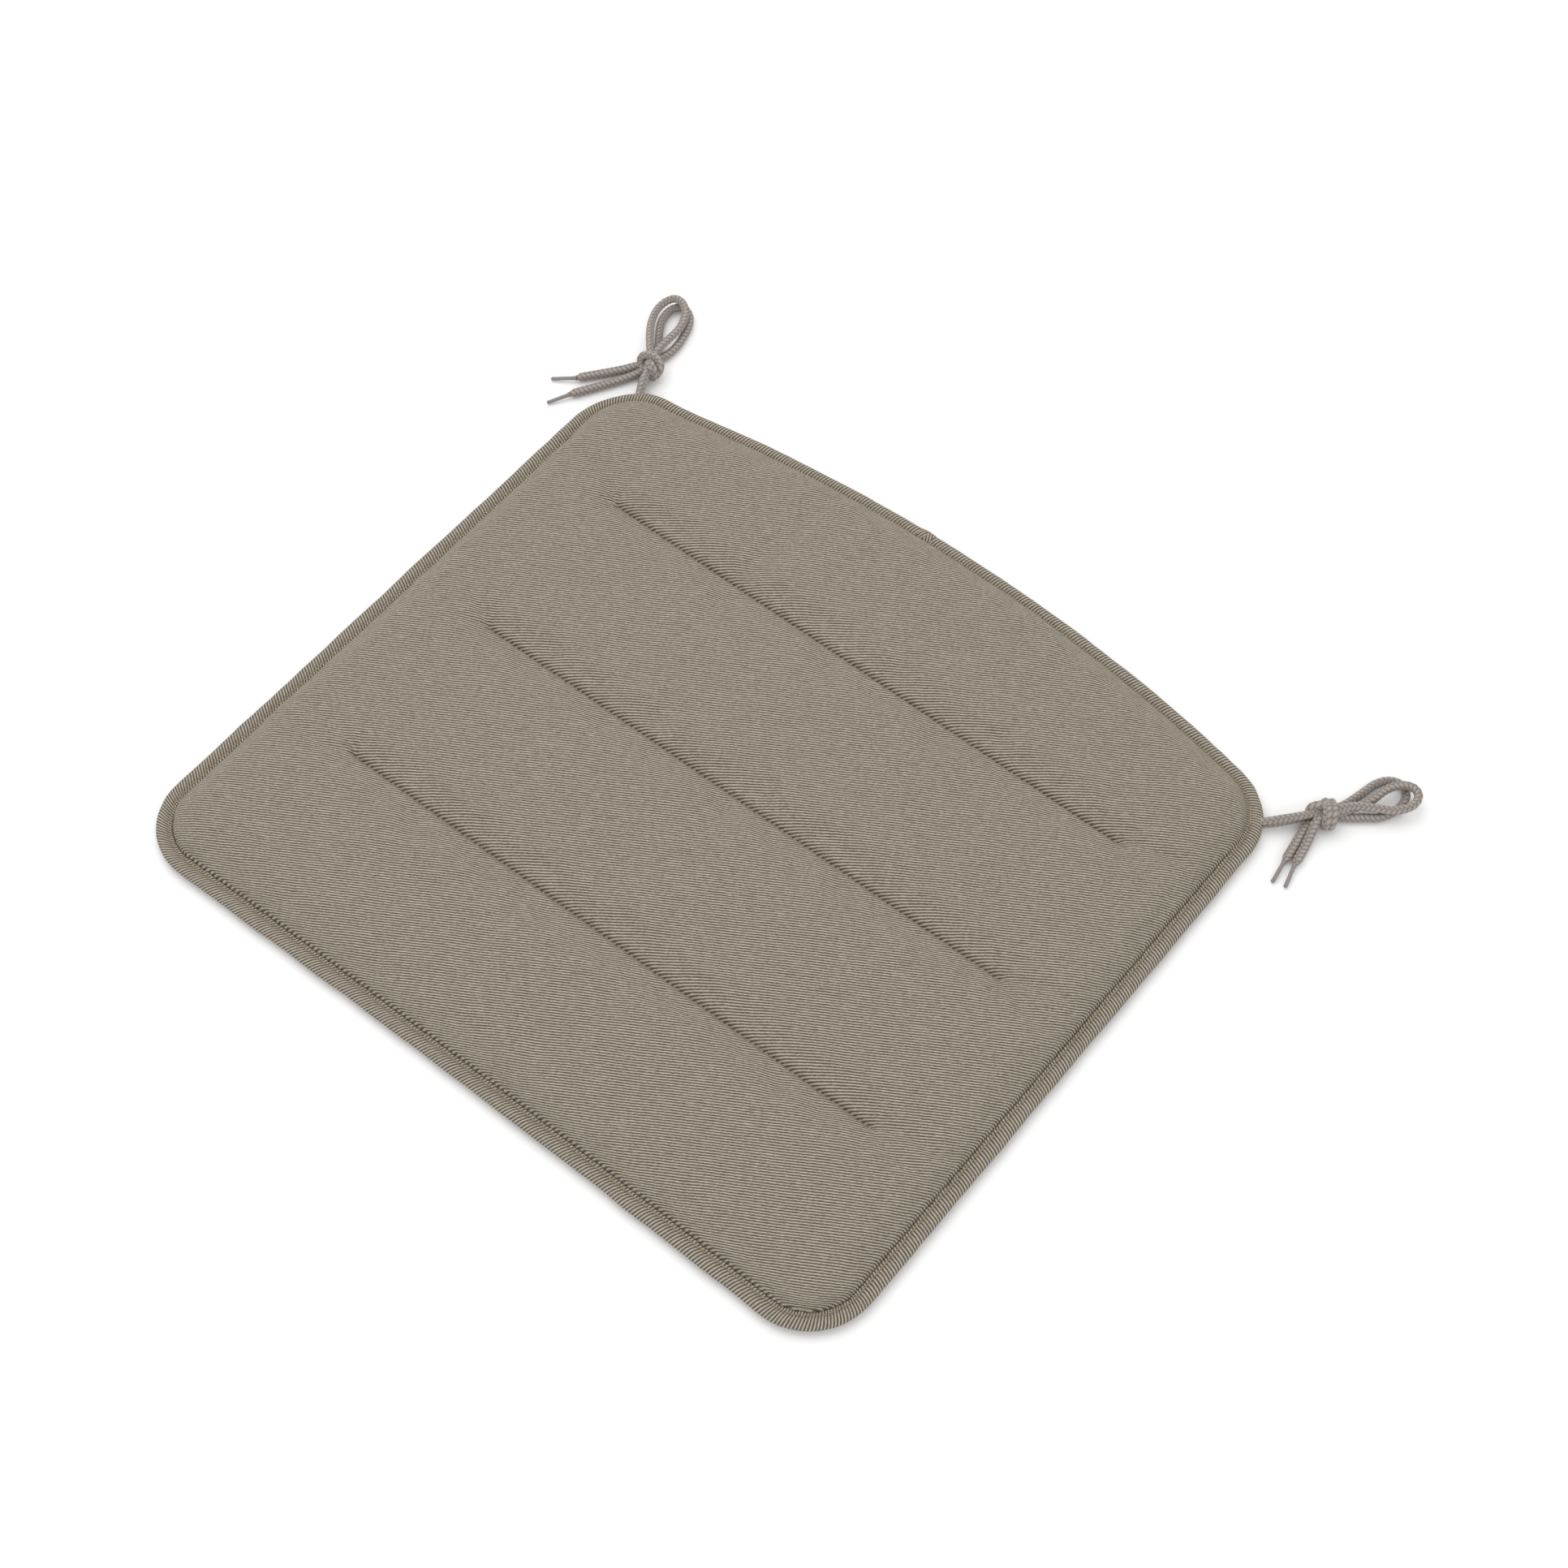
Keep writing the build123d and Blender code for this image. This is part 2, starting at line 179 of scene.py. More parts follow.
# Further points of the stiffened tips wound on the strands' ends
AGLETS = {
    "left_upper": [(-2436, 1579, 18), (-2492, 1537, 13)],
    "left_lower": [(-2365, 1454, 18), (-2398, 1396, 13)],
    "right_upper": [(2415, 1442, 18), (2432, 1374, 13)],
    "right_lower": [(2358, 1424, 18), (2366, 1358, 13)],
}

# Turns of cord on the outside of each knot
KNOT_TURNS = {
    "left": [
        [
            (-2150, 1905, 26), (-2176, 1922, 50), (-2166, 1938, 86), (-2126, 1952, 104),
            (-2086, 1958, 103), (-2050, 1944, 92), (-2034, 1918, 72), (-2050, 1898, 36),
        ],
        [
            (-2120, 1930, 60), (-2100, 1912, 92), (-2066, 1893, 106), (-2044, 1880, 84),
            (-2046, 1876, 40),
        ],
    ],
    "right": [
        [
            (2306, 1788, 32), (2287, 1788, 62), (2296, 1801, 92), (2321, 1824, 103),
            (2344, 1850, 94), (2356, 1868, 60),
        ],
        [
            (2318, 1896, 36), (2336, 1868, 80), (2366, 1826, 110), (2390, 1792, 108),
            (2402, 1769, 78), (2394, 1779, 36),
        ],
        [
            (2344, 1915, 36), (2366, 1882, 80), (2394, 1842, 106), (2414, 1810, 100),
            (2421, 1789, 70), (2416, 1796, 34),
        ],
    ],
}

# Where each tie leaves the seam and its outward way there; where it bends when it is lifted,
# and the level way in which it then lies at rest
TIES = {
    "left": {
        "exit": (-0.201197, 0.173357, 0.004),
        "outward": (-0.530, 0.848, 0),
        "hinge": (-0.20353, 0.17709, 0.004),
        "swing": (-0.866, 0.5, 0),
    },
    "right": {
        "exit": (0.213162, 0.161803, 0.004),
        "outward": (0.829, 0.559, 0),
        "hinge": (0.21681, 0.16426, 0.004),
        "swing": (0.866, 0.5, 0),
    },
}


# ---------------------------------------------------------------- material nodes

class Nodes:
    """Short calls for building one material's node tree."""

    def __init__(self, name, roughness, sheen=0.0, specular=0.3):
        self.material = bpy.data.materials.new(name)
        self.material.use_nodes = True
        self.tree = self.material.node_tree
        self.shader = self.tree.nodes["Principled BSDF"]
        self.shader.inputs["Roughness"].default_value = roughness
        self.shader.inputs["Sheen Weight"].default_value = sheen
        self.shader.inputs["Specular IOR Level"].default_value = specular

    def _feed(self, socket, value):
        if isinstance(value, bpy.types.NodeSocket):
            self.tree.links.new(value, socket)
        else:
            socket.default_value = value

    def attribute(self, name):
        node = self.tree.nodes.new("ShaderNodeAttribute")
        node.attribute_name = name
        return node.outputs["Vector"]

    def split(self, vector):
        node = self.tree.nodes.new("ShaderNodeSeparateXYZ")
        self._feed(node.inputs[0], vector)
        return node.outputs

    def join(self, x, y, z=0.0):
        node = self.tree.nodes.new("ShaderNodeCombineXYZ")
        self._feed(node.inputs[0], x)
        self._feed(node.inputs[1], y)
        self._feed(node.inputs[2], z)
        return node.outputs[0]

    def math(self, operation, a, b=0.0, c=0.0):
        node = self.tree.nodes.new("ShaderNodeMath")
        node.operation = operation
        self._feed(node.inputs[0], a)
        self._feed(node.inputs[1], b)
        self._feed(node.inputs[2], c)
        return node.outputs[0]

    def times_plus(self, a, b, c):
        return self.math("MULTIPLY_ADD", a, b, c)

    def noise(self, vector, scale, detail=2.0, rough=0.5):
        node = self.tree.nodes.new("ShaderNodeTexNoise")
        self._feed(node.inputs["Vector"], vector)
        node.inputs["Scale"].default_value = scale
        node.inputs["Detail"].default_value = detail
        node.inputs["Roughness"].default_value = rough
        return node.outputs["Fac"]

    def ramp(self, factor, stops):
        node = self.tree.nodes.new("ShaderNodeValToRGB")
        self._feed(node.inputs[0], factor)
        elements = node.color_ramp.elements
        while len(elements) < len(stops):
            elements.new(0.5)
        for element, (place, colour) in zip(elements, stops):
            element.position = place
            element.color = (*colour, 1.0)
        return node.outputs["Color"]

    def blend(self, mode, factor, a, b):
        node = self.tree.nodes.new("ShaderNodeMix")
        node.data_type = "RGBA"
        node.blend_type = mode
        self._feed(node.inputs["Factor"], factor)
        self._feed(node.inputs["A"], a)
        self._feed(node.inputs["B"], b)
        return node.outputs["Result"]

    def finish(self, colour, height, distance, strength=1.0):
        self._feed(self.shader.inputs["Base Color"], colour)
        bump = self.tree.nodes.new("ShaderNodeBump")
        bump.inputs["Strength"].default_value = strength
        bump.inputs["Distance"].default_value = distance
        self._feed(bump.inputs["Height"], height)
        self._feed(self.shader.inputs["Normal"], bump.outputs[0])
        return self.material


def srgb(r, g, b):
    """Linear colour of a display colour from 0 to 255."""
    def linear(value):
        value /= 255
        return value / 12.92 if value <= 0.04045 else ((value + 0.055) / 1.055) ** 2.4
    return tuple(linear(v) for v in (r, g, b))


LIGHT_YARN = srgb(175, 168, 151)
DARK_YARN = srgb(87, 79, 72)


def striped_cloth(name, across, along, pitch, warp_scale, warp, wobble):
    """Woven stripes: two yarn colours, fibres along the stripes and a raised light yarn.

    across and along are directions in the fabric coordinates held by the mesh.
    """
    n = Nodes(name, roughness=0.9, sheen=0.06, specular=0.15)
    u, v, _ = n.split(n.attribute("weave"))
    cross = n.times_plus(u, across[0], n.math("MULTIPLY", v, across[1]))
    run = n.times_plus(u, along[0], n.math("MULTIPLY", v, along[1]))
    # Phase of the stripes: slow drift, the wobble of single yarns, and slips a few mm long
    drift = n.noise(n.join(u, v), warp_scale, 2.0)
    jitter = n.noise(n.join(n.math("MULTIPLY", run, 0.55), cross), 1300, 2.0)
    phase = n.math("DIVIDE", cross, pitch)
    phase = n.times_plus(n.math("SUBTRACT", drift, 0.5), warp, phase)
    phase = n.times_plus(n.math("SUBTRACT", jitter, 0.5), wobble, phase)
    slip = n.noise(n.join(u, v), 240, 1.0)
    phase = n.times_plus(n.math("SUBTRACT", slip, 0.5), warp * 0.5, phase)
    wave = n.math("SINE", n.math("MULTIPLY", phase, 2 * pi))
    tone = n.times_plus(wave, 0.5, 0.5)
    # The twill's short floats break each stripe into a fine row of beads
    bead_phase = n.times_plus(cross, 0.8, run)
    bead = n.math("SINE", n.math("MULTIPLY", bead_phase, 2 * pi / BEAD_PITCH))
    tone = n.times_plus(bead, 0.10, tone)
    # Yarns fade in and out along their length
    streak = n.noise(n.join(n.math("MULTIPLY", run, 0.22), cross), 1500, 2.0)
    tone = n.times_plus(n.math("SUBTRACT", streak, 0.5), 0.55, tone)
    stripes = n.ramp(tone, [
        (0.12, DARK_YARN),
        (0.42, srgb(115, 106, 97)),
        (0.66, srgb(153, 146, 131)),
        (0.96, LIGHT_YARN),
    ])
    fibre = n.noise(n.join(n.math("MULTIPLY", run, 0.22), cross), 5200, 2.0, 0.6)
    mottle = n.noise(n.join(u, v), 160, 3.0)
    shade = n.times_plus(fibre, 0.46, n.times_plus(mottle, 0.16, 0.71))
    colour = n.blend("MULTIPLY", 1.0, stripes, n.join(shade, shade, shade))
    height = n.times_plus(fibre, 0.35, tone)
    return n.finish(colour, height, 0.00016, 0.85)


def cover_twill():
    c, s = cos(TWILL_ANGLE), sin(TWILL_ANGLE)
    return striped_cloth("cover_twill", (-s, c), (c, s), TWILL_PITCH, 38, 0.32, 0.42)


def binding_twill():
    return striped_cloth("binding_twill", (1.0, 0.0), (0.0, 1.0), BINDING_PITCH, 60, 0.30, 0.24)


def cord_cotton():
    """Braided cord: soft grey-brown yarn with painted shade darkening the hollows between the
    plaits, fibres along them.
    """
    n = Nodes("cord_cotton", roughness=0.85, sheen=0.06, specular=0.2)
    lengthways, across, relief = n.split(n.attribute("weave"))
    fibre = n.noise(n.join(n.math("MULTIPLY", lengthways, 0.22), across), 3800, 2.0, 0.6)
    mottle = n.noise(n.join(lengthways, across), 260, 2.0)
    # Painted shade: the yarns' crowns are light and the colour darkens down into the hollows
    # between the plaits
    plait_shade = n.ramp(relief, [
        (0.12, srgb(66, 60, 57)),
        (0.42, srgb(112, 104, 99)),
        (0.72, srgb(149, 141, 135)),
        (1.0, srgb(166, 158, 152)),
    ])
    shade = n.times_plus(fibre, 0.34, n.times_plus(mottle, 0.16, 0.75))
    colour = n.blend("MULTIPLY", 1.0, plait_shade, n.join(shade, shade, shade))
    return n.finish(colour, fibre, 0.00022, 0.8)


def aglet_wrap():
    """Stiffened cord tip: smoother, with a faint wound texture."""
    n = Nodes("aglet_wrap", roughness=0.5, sheen=0.0, specular=0.4)
    run, turn, _ = n.split(n.attribute("weave"))
    wound = n.noise(n.join(n.math("MULTIPLY", run, 0.2), turn), 3000, 2.0)
    colour = n.ramp(wound, [(0.3, srgb(120, 113, 112)), (0.7, srgb(148, 141, 139))])
    return n.finish(colour, wound, 0.00008, 0.6)


def sewing_thread():
    """Tan twisted thread, with painted shade in the grooves of its twist."""
    n = Nodes("sewing_thread", roughness=0.6, sheen=0.05, specular=0.35)
    run, turn, _ = n.split(n.attribute("weave"))
    twist = n.math("SINE", n.times_plus(run, 2 * pi / THREAD_TWIST, turn))
    tone = n.times_plus(twist, 0.5, 0.5)
    # Painted shade: the colour follows the twist's relief, light on the plies' crests and darker in
    # the grooves between them
    colour = n.ramp(tone, [(0.1, srgb(134, 115, 88)), (0.8, srgb(188, 168, 138))])
    return n.finish(colour, tone, 0.00006, 0.7)


def foam():
    """Open-cell foam, hidden inside the covers."""
    n = Nodes("foam", roughness=0.95, specular=0.1)
    place = n.attribute("weave")
    cells = n.noise(place, 900, 4.0, 0.7)
    colour = n.ramp(cells, [(0.3, srgb(176, 170, 150)), (0.7, srgb(224, 219, 202))])
    return n.finish(colour, cells, 0.0004, 1.0)


def floor_paint():
    n = Nodes("floor_paint", roughness=0.9, specular=0.1)
    place = n.tree.nodes.new("ShaderNodeTexCoord").outputs["Object"]
    grain = n.noise(place, 30, 2.0)
    colour = n.ramp(grain, [(0.2, (0.94, 0.94, 0.94)), (0.8, (0.95, 0.95, 0.95))])
    return n.finish(colour, grain, 0.00002, 0.2)


MATERIALS = {
    "cover_twill": cover_twill(),
    "binding_twill": binding_twill(),
    "foam": foam(),
    "thread": sewing_thread(),
    "cord": cord_cotton(),
    "aglet": aglet_wrap(),
}


# ---------------------------------------------------------------- mesh helpers

def pulled_corner(points):
    """The back left corner of the cloth is drawn out a little where its tie is sewn in."""
    points = np.array(points, dtype=float)
    near = np.hypot(points[:, 0] - PULLED_AT[0], points[:, 1] - PULLED_AT[1])
    points[:, :2] += np.exp(-((near / PULLED_REACH) ** 2))[:, None] * PULLED_BY
    return points


def add_mesh(name, points, faces, weave, slot):
    """Smooth-shaded object from arrays, with its fabric coordinates and material."""
    if slot in FABRIC_SLOTS:
        points = pulled_corner(points)
    mesh = bpy.data.meshes.new(name)
    corners = faces.tolist() if isinstance(faces, np.ndarray) else faces
    mesh.from_pydata(np.asarray(points).tolist(), [], corners)
    layer = mesh.attributes.new("weave", "FLOAT_VECTOR", "POINT")
    layer.data.foreach_set("vector", np.asarray(weave, dtype=np.float32).ravel())
    mesh.shade_smooth()
    mesh.update()
    piece = bpy.data.objects.new(name, mesh)
    bpy.context.scene.collection.objects.link(piece)
    mesh.materials.append(MATERIALS[slot])
    return piece


def grid_faces(rows, columns, wrap_rows=False, wrap_columns=False, flip=False):
    """Quads of a grid of points stored row by row."""
    i = np.arange(rows if wrap_rows else rows - 1)
    j = np.arange(columns if wrap_columns else columns - 1)
    i, j = np.meshgrid(i, j, indexing="ij")
    down = (i + 1) % rows
    right = (j + 1) % columns
    corners = [i * columns + j, i * columns + right, down * columns + right, down * columns + j]
    faces = np.stack(corners, -1).reshape(-1, 4)
    return faces[:, ::-1] if flip else faces


def ripples(x, y, seed, size, count=7):
    """Smooth unevenness from -1 to 1: a few plane waves about size metres long."""
    rng = np.random.default_rng(seed)
    total = np.zeros_like(x)
    for _ in range(count):
        heading = rng.uniform(0, 2 * pi)
        wave = 2 * pi / (size * rng.uniform(0.7, 1.6))
        phase = rng.uniform(0, 2 * pi)
        total += np.sin(wave * (x * cos(heading) + y * sin(heading)) + phase)
    return total / count * 1.6


# ---------------------------------------------------------------- outline

def arc(centre, radius, start, end, step, inward=False):
    """Points and outward normals along an arc, without its last point."""
    count = max(2, int(round(abs(end - start) * radius / step)))
    angle = np.linspace(start, end, count, endpoint=False)
    way = np.stack([np.cos(angle), np.sin(angle)], 1)
    return np.array(centre) + radius * way, -way if inward else way


def side(x, y_from, y_to, step):
    """Points and outward normals along a straight side, without its last point."""
    count = int(round(abs(y_to - y_from) / step))
    y = np.linspace(y_from, y_to, count, endpoint=False)
    points = np.stack([np.full(count, x), y], 1)
    return points, np.tile([np.sign(x), 0.0], (count, 1))


def outline(step):
    """The pad's outline, anticlockwise from the binding's lap: points, normals, distance."""
    fx, fy = FRONT_CORNER
    bx, by = BACK_CORNER
    back = (0.0, BACK_CENTRE_Y)
    runs = [
        arc(back, BACK_RADIUS, LAP_ANGLE, pi - BACK_TANGENT, step),
        arc((-bx, by), BACK_CORNER_RADIUS, pi - BACK_TANGENT, pi, step),
        side(-HALF_WIDTH, by, fy, step),
        arc((-fx, fy), FRONT_CORNER_RADIUS, pi, pi + FRONT_TANGENT, step),
        arc((0.0, FRONT_CENTRE_Y), FRONT_RADIUS, FRONT_TANGENT, pi - FRONT_TANGENT, step, True),
        arc((fx, fy), FRONT_CORNER_RADIUS, -FRONT_TANGENT, 0.0, step),
        side(HALF_WIDTH, fy, by, step),
        arc((bx, by), BACK_CORNER_RADIUS, 0.0, BACK_TANGENT, step),
        arc(back, BACK_RADIUS, BACK_TANGENT, LAP_ANGLE, step),
    ]
    points = np.concatenate([r[0] for r in runs])
    normals = np.concatenate([r[1] for r in runs])
    gaps = np.linalg.norm(np.roll(points, -1, 0) - points, axis=1)
    return points, normals, np.concatenate([[0.0], np.cumsum(gaps)[:-1]])


def inset_of(x, y):
    """How far points lie inside the outline."""
    ax = np.abs(x)
    straight = HALF_WIDTH - ax
    back = BACK_RADIUS - np.hypot(x, y - BACK_CENTRE_Y)
    front = np.hypot(x, y - FRONT_CENTRE_Y) - FRONT_RADIUS
    depth = np.minimum(straight, np.minimum(back, front))
    dx, dy = ax - FRONT_CORNER[0], y - FRONT_CORNER[1]
    in_front = (dy < 0) & (dx > 0.019 * dy)
    depth = np.where(in_front, FRONT_CORNER_RADIUS - np.hypot(dx, dy), depth)
    dx, dy = ax - BACK_CORNER[0], y - BACK_CORNER[1]
    in_back = (dy > 0) & (dx > 0.2157 * dy)
    return np.where(in_back, BACK_CORNER_RADIUS - np.hypot(dx, dy), depth)


def outward_of(x, y):
    """Unit direction from points towards the outline."""
    e = 0.0002
    gx = inset_of(x - e, y) - inset_of(x + e, y)
    gy = inset_of(x, y - e) - inset_of(x, y + e)
    size = np.maximum(np.hypot(gx, gy), 1e-9)
    return gx / size, gy / size


# ---------------------------------------------------------------- cover surface

def graded(start, end, count, ease):
    """Places from start to end, closer together near both."""
    q = np.linspace(0, 1, count + 1)
    return start + (end - start) * (q - ease * np.sin(2 * pi * q) / (2 * pi))


def channel_line(index, x):
    """Where a channel's stitching lies; the back one was sewn slightly askew."""
    tilt = BACK_CHANNEL_TILT if index == 2 else 0.0
    return CHANNEL_Y[index] + tilt * (x - CHANNEL_CENTRE_X)


def cover_grid(inset, row_counts, column_count, ease=0.72):
    """Grid over the pad inside an inset outline, whose rows run along the channels."""
    front_r = FRONT_CORNER_RADIUS - inset
    back_r = BACK_CORNER_RADIUS - inset
    y_low = FRONT_CORNER[1] - front_r * sqrt(0.5)
    y_high = BACK_CORNER[1] + back_r * sqrt(0.5)
    knots = (y_low, *CHANNEL_Y, y_high)
    rows = [graded(a, b, n, ease)[:-1] for a, b, n in zip(knots, knots[1:], row_counts)]
    y_side = np.concatenate([*rows, [y_high]])
    across = graded(-1.0, 1.0, column_count, 0.62)
    low = np.clip(FRONT_CORNER[1] - y_side, 0, front_r)
    high = np.clip(y_side - BACK_CORNER[1], 0, back_r)
    half = HALF_WIDTH - inset
    half = half - (front_r - np.sqrt(front_r**2 - low**2)) - (back_r - np.sqrt(back_r**2 - high**2))
    x = half[:, None] * across[None, :]
    ax = np.abs(half[0] * across)[None, :]
    turn = np.clip(ax - FRONT_CORNER[0], 0, front_r)
    on_arc = np.minimum(ax, FRONT_CORNER[0])
    y_front = FRONT_CENTRE_Y + np.sqrt((FRONT_RADIUS + inset) ** 2 - on_arc**2)
    y_front = y_front + front_r - np.sqrt(front_r**2 - turn**2)
    edge = BACK_CORNER[0] + back_r * cos(BACK_TANGENT)
    ax = np.abs(half[-1] * across)[None, :]
    turn = np.clip(ax - BACK_CORNER[0], 0, back_r)
    y_arc = BACK_CENTRE_Y + np.sqrt((BACK_RADIUS - inset) ** 2 - np.minimum(ax, edge) ** 2)
    y_back = np.where(ax > edge, BACK_CORNER[1] + np.sqrt(back_r**2 - turn**2), y_arc)
    b_front = np.clip((CHANNEL_Y[0] - y_side) / (CHANNEL_Y[0] - y_low), 0, 1)[:, None]
    b_back = np.clip((y_side - CHANNEL_Y[2]) / (y_high - CHANNEL_Y[2]), 0, 1)[:, None]
    y = y_side[:, None] + b_front * (y_front - y_low) + b_back * (y_back - y_high)
    lean = np.exp(-(((y_side - CHANNEL_Y[2]) / 0.03) ** 2))[:, None]
    y = y + lean * BACK_CHANNEL_TILT * (x - CHANNEL_CENTRE_X) * (1 - np.abs(across[None, :]) ** 12)
    return x, y, y_side, across


def past_channels(x):
    """How far points lie beyond the channels' ends; negative beside the channels."""
    return np.abs(x - CHANNEL_CENTRE_X) - CHANNEL_HALF


def groove_parts(x, y):
    """Distance to the nearest channel's line of stitches, and across it."""
    best = np.full_like(x, 1.0)
    signed = np.zeros_like(x)
    beyond = np.clip(past_channels(x), 0, None)
    for index in range(3):
        across = y - channel_line(index, x)
        reach = np.hypot(beyond, across)
        nearer = reach < best
        best = np.where(nearer, reach, best)
        signed = np.where(nearer, across, signed)
    return best, signed


def shoulder(depth, start, width, power):
    """Rise from 0 at the seam to 1 on the pad, as a rounded shoulder."""
    q = np.clip((depth - start) / width, 0, 1)
    return (1 - (1 - q) ** power) ** (1 / power)


def cloth_waves(x, y):
    """Soft waves of the upper cover, mostly across the channels and stronger towards the back."""
    towards_back = 0.35 + 0.65 * np.clip((y + 0.04) / 0.12, 0, 1)
    even = 0.00035 * ripples(x, y, 3, 0.055)
    return even + 0.00048 * towards_back * ripples(x, y * 0.3, 37, 0.030, 9)


def channel_puckers(x, y, reach, across):
    """Short puckers along the channels, and folds that fan out from the channels' ends."""
    beside = np.exp(-(((reach - 0.006) / 0.005) ** 2))
    past_end = past_channels(x)
    end = np.clip(past_end + 0.004, 0, 0.03) / 0.03
    fan = np.exp(-((reach / 0.018) ** 2)) * np.sin(pi * end)
    fan = fan * np.cos(7 * np.arctan2(across, past_end))
    return 0.00022 * beside * ripples(x, y * 0.25, 11, 0.010, 9) + 0.00045 * fan


def edge_gathers(x, y, depth):
    """Gathers inside the binding: broad ones along the back edge, and fine ones all round."""
    along_back = np.clip((y - 0.09) / 0.05, 0, 1)
    broad = np.exp(-(((depth - 0.022) / 0.016) ** 2)) * along_back
    fine = np.exp(-(((depth - 0.0125) / 0.0035) ** 2))
    broad = 0.00030 * broad * ripples(x, y * 0.2, 41, 0.020, 9)
    return broad + 0.00016 * fine * ripples(x, y, 29, 0.0085, 9)


def top_height(x, y):
    """Height of the upper cover. It starts nearer the edge at the back, over the binding's lip."""
    depth = inset_of(x, y)
    reach, across = groove_parts(x, y)
    over_lip = np.clip((y - 0.125) / 0.03, 0, 1)
    start = SHOULDER_START - SHOULDER_OVER_LIP * over_lip
    body = shoulder(depth, start, SHOULDER_WIDTH, 2.6)
    groove = np.exp(-reach / GROOVE_REACH)
    crease = np.exp(-reach / CREASE_REACH)
    sunk = GROOVE_DEPTH * groove + CREASE_DEPTH * crease
    z = SEAM_Z + (TOP_Z - SEAM_Z) * body - sunk * body
    z += cloth_waves(x, y) * body * (1 - groove)
    z += channel_puckers(x, y, reach, across)
    return z + edge_gathers(x, y, depth)


def under_height(x, y):
    """Height of the underside's cover, which rests on the floor between the channels."""
    depth = inset_of(x, y)
    reach, _ = groove_parts(x, y)
    body = shoulder(depth, 0.0078, 0.0085, 2.3)
    groove = np.exp(-((reach / 0.0032) ** 1.2))
    lift = 0.0024 * groove
    uneven = 0.00022 * (1 + ripples(x, y, 17, 0.045)) * (1 - groove)
    return 0.0037 * (1 - body) + (lift + np.maximum(uneven, 0)) * body + 0.00002


def fabric_coordinates(x, y, top):
    """Where each point lies on the flat cloth: it is longer over shoulders and grooves."""
    depth = inset_of(x, y)
    out_x, out_y = outward_of(x, y)
    spare = 0.0052 if top else 0.0016
    extra = spare * np.exp(-np.clip(depth - 0.009, 0, None) / 0.0045)
    u = x + out_x * extra
    v = y + out_y * extra
    beyond = np.clip(past_channels(x), 0, None)
    for index in range(3):
        across = y - channel_line(index, x)
        pull = np.exp(-np.hypot(beyond * 0.8, across) / 0.010)
        v = v + (0.09 if top else 0.06) * across * pull
    return np.stack([u, v, np.zeros_like(u)], -1)


# ---------------------------------------------------------------- cloth simulation

def spline_weights(places, knots):
    """Smooth interpolation weights from unevenly spaced knots to places."""
    index = np.interp(places, knots, np.arange(len(knots)))
    base = np.clip(np.floor(index).astype(int), 0, len(knots) - 2)
    f = index - base
    taps = [(1 - f) ** 3, 3 * f**3 - 6 * f**2 + 4, -3 * f**3 + 3 * f**2 + 3 * f + 1, f**3]
    weights = np.zeros((len(places), len(knots)))
    for offset, tap in zip((-1, 0, 1, 2), taps):
        column = np.clip(base + offset, 0, len(knots) - 1)
        np.add.at(weights, (np.arange(len(places)), column), tap / 6)
    return weights


def add_cloth(piece, pinned):
    """Cloth that a little air pressure blows up between its pinned seams."""
    group = piece.vertex_groups.new(name="seams")
    group.add(np.flatnonzero(pinned).tolist(), 1.0, "REPLACE")
    cloth = piece.modifiers.new("pressure", "CLOTH")
    settings = cloth.settings
    settings.quality = 6
    settings.mass = 0.25
    settings.tension_stiffness = settings.compression_stiffness = 14
    settings.shear_stiffness = 4
    settings.bending_stiffness = 0.35
    settings.tension_damping = settings.compression_damping = settings.shear_damping = 8
    settings.use_pressure = True
    settings.uniform_pressure_force = PRESSURE
    settings.shrink_min = -0.02
    settings.vertex_group_mass = "seams"
    settings.effector_weights.gravity = 0
    cloth.collision_settings.use_collision = False
    cloth.collision_settings.use_self_collision = False
    return cloth


def blown_up(cap):
    """How far pressure moves the upper cover, on a coarse grid: offsets and their places."""
    x, y, rows, columns = cover_grid(COVER_INSET, (19, 21, 21, 19), 88, 0.35)
    z = top_height(x, y)
    rest = np.stack([x, y, z], -1).reshape(-1, 3)
    piece = add_mesh("cloth_trial", rest, grid_faces(*x.shape), rest, "thread")
    reach, _ = groove_parts(x, y)
    pinned = reach < PINNED_REACH
    pinned[:2, :] = pinned[-2:, :] = pinned[:, :2] = pinned[:, -2:] = True
    add_cloth(piece, pinned.ravel())
    scene = bpy.context.scene
    # Each frame follows from the one before it
    for number in range(1, LAST_FRAME + 1):
        scene.frame_set(number)
    solved = piece.evaluated_get(bpy.context.evaluated_depsgraph_get())
    moved = np.empty(len(rest) * 3)
    solved.to_mesh().vertices.foreach_get("co", moved)
    solved.to_mesh_clear()
    scene.frame_set(1)
    bpy.data.objects.remove(piece)
    shift = moved.reshape(-1, 3) - rest
    size = np.linalg.norm(shift, axis=1, keepdims=True)
    shift *= np.minimum(1, cap / np.maximum(size, 1e-9))
    return shift.reshape(*x.shape, 3), rows, columns


def make_top_cover():
    """Upper cover: quilted twill, sewn down along the channels and round the edge."""
    x, y, rows, columns = cover_grid(COVER_INSET, (52, 58, 58, 54), 216)
    points = np.stack([x, y, top_height(x, y)], -1)
    shift, coarse_rows, coarse_columns = blown_up(MOST_MOVED)
    down = spline_weights(rows, coarse_rows)
    along = spline_weights(columns, coarse_columns)
    reach, _ = groove_parts(x, y)
    free = 1 - np.exp(-((reach / 0.005) ** 2))
    edge = np.clip((inset_of(x, y) - COVER_INSET) / 0.005, 0, 1)
    for axis in range(3):
        points[:, :, axis] += down @ shift[:, :, axis] @ along.T * free * edge
    weave = fabric_coordinates(x, y, True).reshape(-1, 3)
    faces = grid_faces(*x.shape)
    piece = add_mesh("top_cover_cloth", points.reshape(-1, 3), faces, weave, "cover_twill")
    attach(piece, "pad")
    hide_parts("top_cover")
    return points


